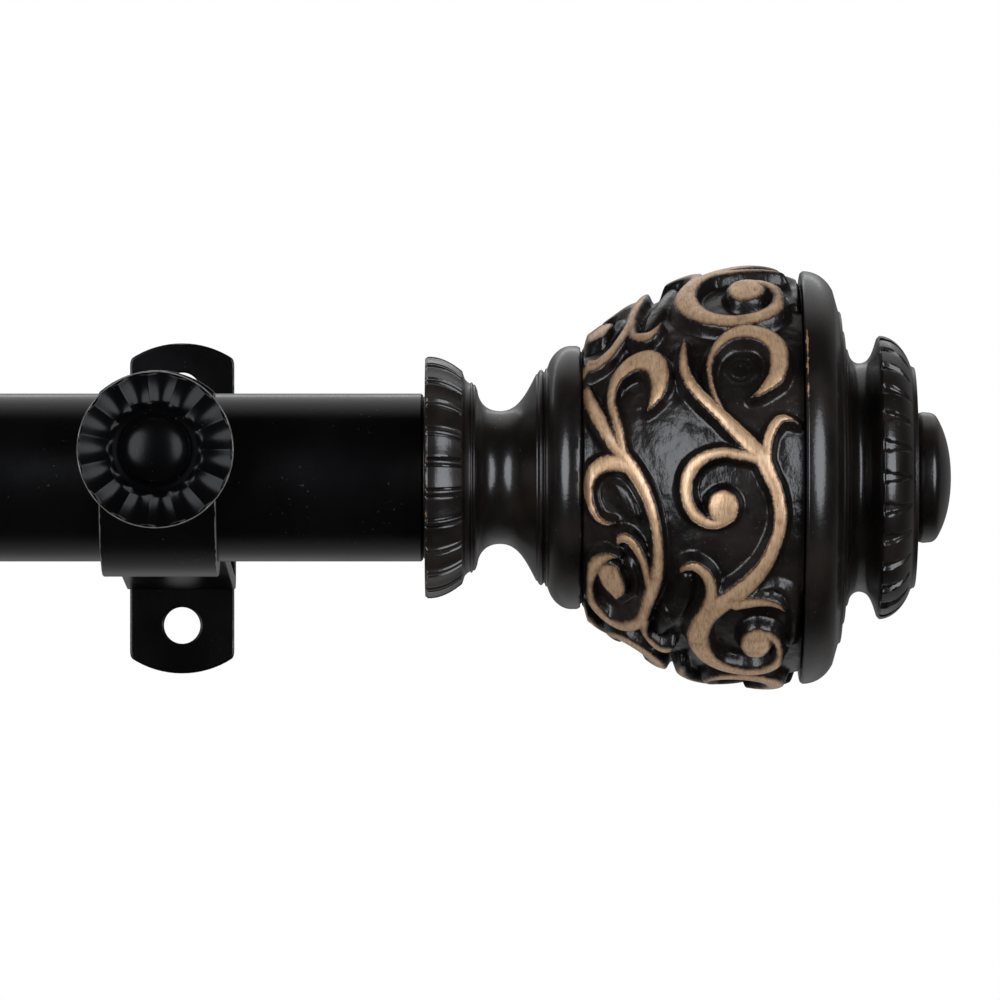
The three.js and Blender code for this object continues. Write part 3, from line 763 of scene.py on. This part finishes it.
def finial_bowl(side):
    heights = np.linspace(BOWL_START, BOWL_END, ROWS)
    ground = np.stack([bowl_ground(heights), heights], -1)
    inner = np.array([(0, 27.3), (8.0, 27.3), (8.0, BOWL_START), (13.0, BOWL_START)])
    outer = np.array([(20.0, BOWL_END), (10.0, BOWL_END), (10.0, 52.0), (0, 52.0)])
    outline = np.vstack([inner, ground, outer])
    first = len(inner) - 1
    raised, gilt = carving(heights)

    def carve(radius, height, angle):
        surface = slice(first, first + len(heights))
        radius = radius.copy()
        radius[surface] += raised
        inside = np.full(radius.shape, OUTSIDE)
        inside[surface] = gilt
        return radius, height, {"gilt": inside}

    mesh = turned_mesh("bowl", outline, COLUMNS, finial_place(side), carve)
    piece(side + "_carved_bowl", mesh, BOWL_LOOK, side + "_finial_bowl", sharp=75)


# ---- Brackets: 2 mm strip, riveted to a wall plate ----

STRIP = 2.0
GAP = 0.3
EDGE = 0.32
GUARD = 0.12
WORN = 0.5
CORNER = 1.1
ARM = {"width": 17.5, "flange_top": 3.0, "root": -17.0, "root_bend": 2.2, "crest_run": 1.58,
       "crest_bend": 1.05, "tab_top": 16.0, "tab_arch": 3.4}
SADDLE_BORE = 13.0
SADDLE_START = math.radians(-135)
PLATE = {"width": 16.8, "low": -31.4, "high": 21.9, "arch": 2.6}
SCREW_HOLE = {"radius": 2.95, "heights": (-23.65, 14.2)}
RIVET = {"shank": 1.4, "head": 3.1, "head_height": 1.5, "sink": 2.7}
RIVET_HEIGHTS = {name: middle_of(f"right_{name}_rivet").z / MM for name in ("lower", "upper")}
NUT = {"flange": 4.4, "height": 2.7, "shank": 3.2, "bore": 2.6}
KNOB_SCREW = {"shank": 2.45, "head": 5.3, "seat": 21.5, "top": 24.3, "tip": 14.4, "pitch": 0.8}
PETALS = 15


def arm_line():
    """The arm's middle line, as (distance from the wall, height) points: down the flange, out
    under the rod, round the saddle and up the tab."""
    flange = STRIP + GAP + STRIP / 2
    radius = SADDLE_BORE + STRIP / 2
    entry = np.array([REACH + radius * math.cos(SADDLE_START), radius * math.sin(SADDLE_START)])
    downhill = np.array([-math.sin(SADDLE_START), math.cos(SADDLE_START)])
    root = np.array([flange, ARM["root"]])
    crest = entry - ARM["crest_run"] * downhill
    run = (crest - root) / np.linalg.norm(crest - root)
    back = ARM["root_bend"]
    line = Outline(flange, ARM["flange_top"]).to((flange, ARM["root"] + back))
    line.curve(root, root + run * back)
    line.to(*(root + (crest - root) * t for t in (0.25, 0.5, 0.75)))
    line.to(crest - run * ARM["crest_bend"])
    line.curve(crest, crest + downhill * ARM["crest_bend"], steps=8)
    for turn in np.linspace(SADDLE_START, 0, 48):
        line.to((REACH + radius * math.cos(turn), radius * math.sin(turn)))
    line.to((REACH + radius, 2.0))
    return np.array(line.points)


def edge_steps(last_turn, count):
    """The steps round an edge, as (inset from the side, distance from the end)."""
    turns = np.linspace(0, last_turn, count)
    return [(EDGE * (1 - math.cos(turn)), EDGE * (1 - math.sin(turn))) for turn in turns]


def arm_section(inset, columns=20, corner_steps=4):
    """The strip's section with rounded edges, drawn in by inset, as (across, through) points. Each
    point on the front has its mirror image on the back, at the same place from the list's end."""
    reach = ARM["width"] / 2 - EDGE
    level = STRIP / 2 - EDGE
    corner = EDGE - inset
    turns = np.linspace(0, math.pi / 2, corner_steps + 1)
    right = [(reach + corner * math.sin(turn), level + corner * math.cos(turn)) for turn in turns]
    left = [(-across, through) for across, through in reversed(right)]
    guard = reach - GUARD
    across_flat = [-guard, *np.linspace(-reach, reach, columns + 1)[1:-1], guard]
    front = [*left, *((across, level + corner) for across in across_flat), *right]
    return np.array([*front, *((across, -through) for across, through in reversed(front))])


def arch_fall(across, width, rise):
    """How far an arched end has fallen from its crown, as a negative height."""
    half = width / 2
    radius = (half ** 2 + rise ** 2) / (2 * rise)
    return np.sqrt(radius ** 2 - np.minimum(np.abs(across), half) ** 2) - radius


def tab_top(across):
    return ARM["tab_top"] + arch_fall(across, ARM["width"], ARM["tab_arch"])


def plate_top(across):
    return PLATE["high"] + arch_fall(across, PLATE["width"], PLATE["arch"])


def arm_mesh(side):
    line = arm_line()
    along = np.gradient(line, axis=0)
    along /= np.linalg.norm(along, axis=1)[:, None]
    through = np.stack([along[:, 1], -along[:, 0]], -1)
    loops = []

    def loop(point, direction, section):
        distance = point[0] + section[:, 1] * direction[0]
        height = point[1] + section[:, 1] * direction[1]
        loops.append(np.stack([BRACKET_X[side] / MM + section[:, 0], -distance, height], -1))

    round_end = edge_steps(math.radians(80), 4)
    for inset, short in reversed(round_end):
        loop(line[0] + along[0] * short, through[0], arm_section(inset))
    full = arm_section(0)
    for point, direction in zip(line[1:], through[1:]):
        loop(point, direction, full)
    tab = line[-1]
    for share in (0.25, 0.5, 0.75, 0.95):
        loop(tab, through[-1], full)
        loops[-1][:, 2] += share * (tab_top(full[:, 0]) - EDGE - tab[1])
    for inset, short in round_end:
        section = arm_section(inset)
        loop(tab, through[-1], section)
        loops[-1][:, 2] = tab_top(section[:, 0]) - short

    count = len(full)
    faces = []
    for row in range(len(loops) - 1):
        for k in range(count):
            here, after = row * count + k, row * count + (k + 1) % count
            faces.append([here, after, after + count, here + count])
    last = (len(loops) - 1) * count
    for k in range(count // 2 - 1):
        cap = [k, k + 1, count - 2 - k, count - 1 - k]
        faces += [cap[::-1], [last + corner for corner in cap]]
    return closed_mesh("arm", np.vstack(loops) * MM, faces)


def front_cutter(side, height, *corners):
    """A round cutter whose (radius, distance from the wall) corners start and end on its axis."""
    return turned_mesh("cutter", np.array(corners, float), 48, front_place(side, height))


def set_wear(mesh, side, width, top):
    """Writes how near each point is to the strip's long edges or to its end."""
    points = np.array([vertex.co for vertex in mesh.vertices]) / MM
    across = points[:, 0] - BRACKET_X[side] / MM
    edge = smooth(np.abs(across), width / 2 - WORN, width / 2)
    end = smooth(points[:, 2], top(across) - WORN, top(0))
    write_attribute(mesh, "wear", np.maximum(edge, end))


def bracket_arm(side):
    holes = [(NUT["shank"] + GAP, KNOB_HEIGHT, REACH + 11, REACH + 17)]
    holes += [(RIVET["shank"] + GAP, height, 1, 6) for height in RIVET_HEIGHTS.values()]
    cutters = [front_cutter(side, height, (0, start), (radius, start), (radius, end), (0, end))
               for radius, height, start, end in holes]
    mesh = drilled(arm_mesh(side), cutters)
    set_wear(mesh, side, ARM["width"], tab_top)
    piece(side + "_strip_arm", mesh, BRACKET_LOOK, side + "_bracket_arm")


def plate_outline(inset, steps=16):
    """The plate's outline, drawn in by inset, as (across, height) points: two arched ends with
    rounded corners."""
    half = PLATE["width"] / 2
    across = np.linspace(-half, half, steps + 1)
    upper = np.stack([across, plate_top(across)], -1)
    lower = np.stack([across, PLATE["low"] + PLATE["high"] - plate_top(across)], -1)
    corners = Outline(-half, 0).to(*map(tuple, lower), (half, 0), *map(tuple, upper[::-1]), (-half, 0))
    points = corners.softened(CORNER)[:-1]
    along = np.roll(points, -1, 0) - np.roll(points, 1, 0)
    along /= np.linalg.norm(along, axis=1)[:, None]
    return points + inset * np.stack([-along[:, 1], along[:, 0]], -1)


def circle(height, radius, steps=64):
    turn = np.linspace(0, 2 * math.pi, steps, endpoint=False)
    return np.stack([radius * np.cos(turn), height + radius * np.sin(turn)], -1)


def plate_mesh(side):
    """The plate's edges are rounded in rings, from its back to its front, and its two faces are
    filled between the rings of the outline and of the screw holes."""
    rings = [*edge_steps(math.pi / 2, 5), (EDGE + GUARD, 0.0)]
    profile = [*reversed(rings), *((inset, STRIP - level) for inset, level in rings)]
    shapes = [plate_outline]
    for height in SCREW_HOLE["heights"]:
        shapes.append(lambda inset, height=height: circle(height, SCREW_HOLE["radius"] + inset))
    form = bmesh.new()
    rims = ([], [])
    for shape in shapes:
        loops = []
        for inset, level in profile:
            loops.append([form.verts.new((BRACKET_X[side] + x * MM, -level * MM, z * MM))
                          for x, z in shape(inset)])
        for low, high in zip(loops, loops[1:]):
            for k in range(len(low)):
                after = (k + 1) % len(low)
                form.faces.new((low[k], low[after], high[after], high[k]))
        for rim, loop in zip(rims, (loops[0], loops[-1])):
            rim.extend(form.edges.get((loop[k - 1], loop[k])) for k in range(len(loop)))
    for rim in rims:
        bmesh.ops.triangle_fill(form, edges=rim, use_beauty=True)
    bmesh.ops.recalc_face_normals(form, faces=form.faces)
    mesh = bpy.data.meshes.new("plate")
    form.to_mesh(mesh)
    form.free()
    return mesh


def wall_plate(side):
    shank, sink = RIVET["shank"] + GAP, RIVET["sink"] + GAP
    countersink = ((0, 3), (shank, 3), (shank, STRIP / 2), (sink, 0), (sink, -1), (0, -1))
    cutters = [front_cutter(side, height, *countersink) for height in RIVET_HEIGHTS.values()]
    mesh = drilled(plate_mesh(side), cutters)
    set_wear(mesh, side, PLATE["width"], plate_top)
    piece(side + "_back_plate", mesh, BRACKET_LOOK, side + "_wall_plate")


def rivets(side):
    shank, head, head_height, sink = RIVET.values()
    seat = 2 * STRIP + 2 * GAP
    top = seat + head_height
    outline = Outline(0, 0.05).to((sink, 0.05), (shank, STRIP / 2), (shank, seat))
    outline.to((head - 0.1, seat), (head, seat + 0.2))
    outline.curve((head - 0.2, top - 0.15), (head * 0.55, top), (0, top))
    for name, height in RIVET_HEIGHTS.items():
        mesh = turned_mesh("rivet", outline.softened(0.06), 72, front_place(side, height))
        piece(f"{side}_{name}_domed_rivet", mesh, BRACKET_LOOK, f"{side}_{name}_rivet")


def knob_place(side):
    """Heights run towards the room from the rod's axis, along the knob's."""
    return front_place(side, KNOB_HEIGHT, ROD_Y)


def clinch_nut(side):
    """A hexagonal nut with chamfered corners, on a round shank clinched into the tab."""
    flange, height, shank, bore = NUT.values()
    back = SADDLE_BORE + 0.2
    seat = SADDLE_BORE + STRIP + GAP
    front = seat + height
    outline = Outline(bore, back).to((shank, back), (shank, seat), (flange, seat))
    outline.to((flange, front - 0.35), (flange - 0.75, front), (bore + 0.3, front))
    outline.to((bore, front - 0.3)).ring()

    def hexagon(radius, height, angle):
        apothem = flange * math.cos(math.pi / 6)
        flat = apothem / np.cos((angle + math.pi / 6) % (math.pi / 3) - math.pi / 6)
        return np.where(radius > shank + 0.1, np.minimum(radius, flat), radius), height, {}

    points = refined(outline.softened(0.08), 0.25, front - 0.4, front)
    mesh = turned_mesh("nut", points, 96, knob_place(side), hexagon)
    piece(side + "_hex_nut", mesh, BRACKET_LOOK, side + "_clinch_nut")


def knob_pad(side):
    outline = Outline(0, 12.9).to((1.6, 12.9), (1.8, 13.1), (1.8, 14.1), (0, 14.1))
    mesh = turned_mesh("pad", outline.softened(0.12), 48, knob_place(side))
    piece(side + "_nylon_pad", mesh, NYLON_LOOK, side + "_knob_pad")


def petals(radius, height, angle):
    """Rounded petals with soft valleys between them, dying out at the thin rim."""
    crown = np.abs(np.sin(angle * PETALS / 2)) ** 1.2
    reach = smooth(radius, 6.3, 7.2) * (1 - smooth(radius, 11.2, 11.65)) * (height > 21.3)
    wear = near(radius, 11.62, 0.16) * (height > 20.9)
    return radius, height - 0.50 * (1 - crown) * reach, {"wear": wear * 1.05}


def rosette(side):
    outline = Outline(2.75, 18.8).to((4.8, 18.8), (5.0, 19.0), (5.0, 20.0), (11.3, 20.4))
    outline.to((11.7, 20.75), (11.7, 21.2), (11.55, 21.45))
    outline.curve((10.4, 22.0), (8.8, 22.6), (7.4, 22.6), steps=14)
    outline.curve((7.0, 22.6), (6.75, 22.3), (6.45, 21.95), steps=8)
    outline.curve((6.2, 21.7), (5.35, 21.35), steps=8)
    outline.to((5.2, 21.2), (2.75, 21.2)).ring()
    points = refined(outline.softened(0.10), 0.2, 21.3, 22.8)
    mesh = turned_mesh("rosette", points, 32 * PETALS, knob_place(side), petals, (PETALS, 0.0))
    piece(side + "_petalled_knob", mesh, KNOB_LOOK, side + "_rosette", sharp=50)


def knob_screw(side):
    shank, head, seat, top, tip, pitch = KNOB_SCREW.values()
    outline = Outline(0, tip).to((shank - 0.4, tip), (shank, tip + 0.4), (shank, seat))
    outline.to((head - 0.1, seat), (head, seat + 0.15), (head, seat + 0.3), (head - 0.15, seat + 0.4))
    outline.curve((4.9, 23.5), (3.1, top), (0, top), steps=18)
    points = refined(outline.softened(0.06), 0.1, tip + 0.4, seat - 0.05)
    cut = thread(tip, seat - 0.3, shank, pitch)
    mesh = turned_mesh("screw", points, 96, knob_place(side), cut)
    piece(side + "_domed_screw", mesh, KNOB_LOOK, side + "_knob_screw", sharp=60)


# ---- The rod: each height is a distance along the rod, to the right from the middle ----

TUBE_COLUMNS = 144


def tube(name, node, outside, bore):
    low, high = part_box(node)
    start, end = low.x / MM, high.x / MM
    ease = 0.3
    outline = Outline(bore, start).to((outside - ease, start), (outside, start + ease))
    outline.to((outside, end - ease), (outside - ease, end), (bore, end)).ring()
    mesh = turned_mesh(name, outline.softened(0.1), TUBE_COLUMNS, ROD_PLACE)
    piece(name, mesh, ROD_LOOK, node)


def sleeve(name, node, look, bore, *sections):
    """A fitting in the rod: (outside radius, begin, end) sections round a bore, measured from the
    fitting's left end."""
    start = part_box(node)[0].x / MM
    outline = Outline(bore, start)
    for outside, begin, end in sections:
        outline.to((outside, start + begin), (outside, start + end))
    outline.to((bore, start + end))
    if bore > 0:
        outline.ring()
    mesh = turned_mesh(name, outline.softened(0.2), 96, ROD_PLACE)
    piece(name, mesh, look, node)


def rod():
    tube("outer_rod_tube", "outer_tube", 12.7, 11.9)
    tube("inner_rod_tube", "inner_tube", 11.1, 10.3)
    sleeve("mouth_liner", "outer_tube_liner", NYLON_LOOK, 11.3, (12.6, 0, 1.5), (11.65, 1.5, 21.8))
    sleeve("tail_glide", "inner_tube_glide", NYLON_LOOK, 0, (10.0, 0, 8.3), (11.7, 8.3, 12.3))
    for tube_name, bore in (("outer", 11.9), ("inner", 10.3)):
        sleeve(tube_name + "_end_plug", tube_name + "_tube_plug", NYLON_LOOK, 4.8, (bore - GAP, 0, 12))
        sleeve(tube_name + "_brass_insert", tube_name + "_tube_insert", BRASS_LOOK, 3.05, (4.5, 0, 12))


# ---- The assembly ----

rod()
for one_side in SIDES:
    for make in (wall_plate, bracket_arm, rivets, clinch_nut, knob_pad, rosette, knob_screw,
                 finial_stud, finial_neck, finial_bowl, finial_cap, finial_button):
        make(one_side)


# ---- Stage: floor, light and camera ----

FLOOR_HEIGHT = -0.6
FLOOR_REACH = 6.0
FINIAL = Vector((COLLAR_FACE["right"] + 0.04, ROD_Y, 0))
WINDOW = {"aside": 0.58, "forward": 0.69, "above": 0.12, "width": 0.66, "height": 0.8}
WINDOW_RADIANCE = 8.0
TUBE_RADIANCE = 1.6
LIGHT_COLOUR = (0.90, 0.935, 1.0)
VIEW = Vector((0.3668, ROD_Y, -0.0034))
VIEW_DISTANCE = 1.3
VIEW_WIDTH = 0.1512


def pale_floor():
    mesh = bpy.data.meshes.new("floor")
    low, high = -FLOOR_REACH, FLOOR_REACH
    square = ((low, low), (high, low), (high, high), (low, high))
    corners = [(x, y, FLOOR_HEIGHT) for x, y in square]
    mesh.from_pydata(corners, [], [(0, 1, 2, 3)])
    look = Look("floor_paint")
    tone = look.ramp(look.noise(300), 0.3, 0.7)
    colour = look.blend(tone, (0.93, 0.93, 0.93, 1), (0.96, 0.96, 0.96, 1))
    mesh.materials.append(look.shade(Base_Color=colour, Roughness=0.8))
    floor = bpy.data.objects.new("pale_floor", mesh)
    floor.visible_glossy = False
    bpy.context.scene.collection.objects.link(floor)


def soft_box(name, shape, place, target, width, height, radiance):
    """A flat light. Its power in watts gives the radiance asked for."""
    light = bpy.data.lights.new(name, "AREA")
    light.shape = shape
    light.size = width
    light.size_y = height
    light.color = LIGHT_COLOUR
    area = width * height * (math.pi / 4 if shape == "ELLIPSE" else 1)
    light.energy = radiance * math.pi * area
    lamp = bpy.data.objects.new(name, light)
    lamp.location = place
    lamp.rotation_euler = (target - place).to_track_quat("-Z", "Y").to_euler()
    lamp.visible_camera = False
    bpy.context.scene.collection.objects.link(lamp)


def studio_lights():
    """A round window in front of the right finial, to either side, and a weak tube behind the rod."""
    for name, out in SIDES.items():
        place = FINIAL + Vector((WINDOW["aside"] * out, -WINDOW["forward"], WINDOW["above"]))
        soft_box(name + "_window", "ELLIPSE", place, FINIAL, WINDOW["width"], WINDOW["height"],
                 WINDOW_RADIANCE)
    soft_box("back_tube", "RECTANGLE", Vector((0, ROD_Y + 0.8, 0.45)), Vector((0, ROD_Y, 0)), 1.4, 0.08,
             TUBE_RADIANCE)


def room_light():
    """A white surround, which the object mirrors as a dark room with a bright ceiling behind it
    and a dim ground."""
    world = bpy.data.worlds.new("room")
    world.use_nodes = True
    bpy.context.scene.world = world
    sky = Graph(world.node_tree)
    direction = sky.add("SeparateXYZ", 0, {"Vector": sky.add("TexCoord", "Generated")}).node
    back, up = direction.outputs["Y"], direction.outputs["Z"]
    overhead = sky.maths("MULTIPLY_ADD", back, 0.65, sky.times(up, 0.75))
    ceiling = sky.ramp(overhead, 0.72, 0.99, 0.0, 0.85)
    underneath = sky.maths("MULTIPLY_ADD", back, 0.6, sky.times(up, -0.8))
    ground = sky.ramp(underneath, 0.74, 1.0, 0.0, 0.35)
    room = sky.maths("ADD", sky.maths("ADD", ceiling, ground), sky.ramp(back, 0.0, 0.9, 0.012, 0.2))
    ray = sky.add("LightPath", "Is Glossy Ray")
    light = sky.blend(ray, (1, 1, 1, 1), room)
    sky.feed(sky.nodes["Background"].inputs["Color"], light)


def view_camera():
    camera = bpy.data.cameras.new("camera")
    camera.sensor_width = 36
    camera.lens = camera.sensor_width * VIEW_DISTANCE / VIEW_WIDTH
    camera.clip_start = 0.01
    eye = bpy.data.objects.new("camera", camera)
    eye.location = VIEW - Vector((0, VIEW_DISTANCE, 0))
    eye.rotation_euler = (math.radians(90), 0, 0)
    bpy.context.scene.collection.objects.link(eye)
    bpy.context.scene.camera = eye


pale_floor()
room_light()
studio_lights()
view_camera()
bpy.context.scene.view_settings.view_transform = "Standard"
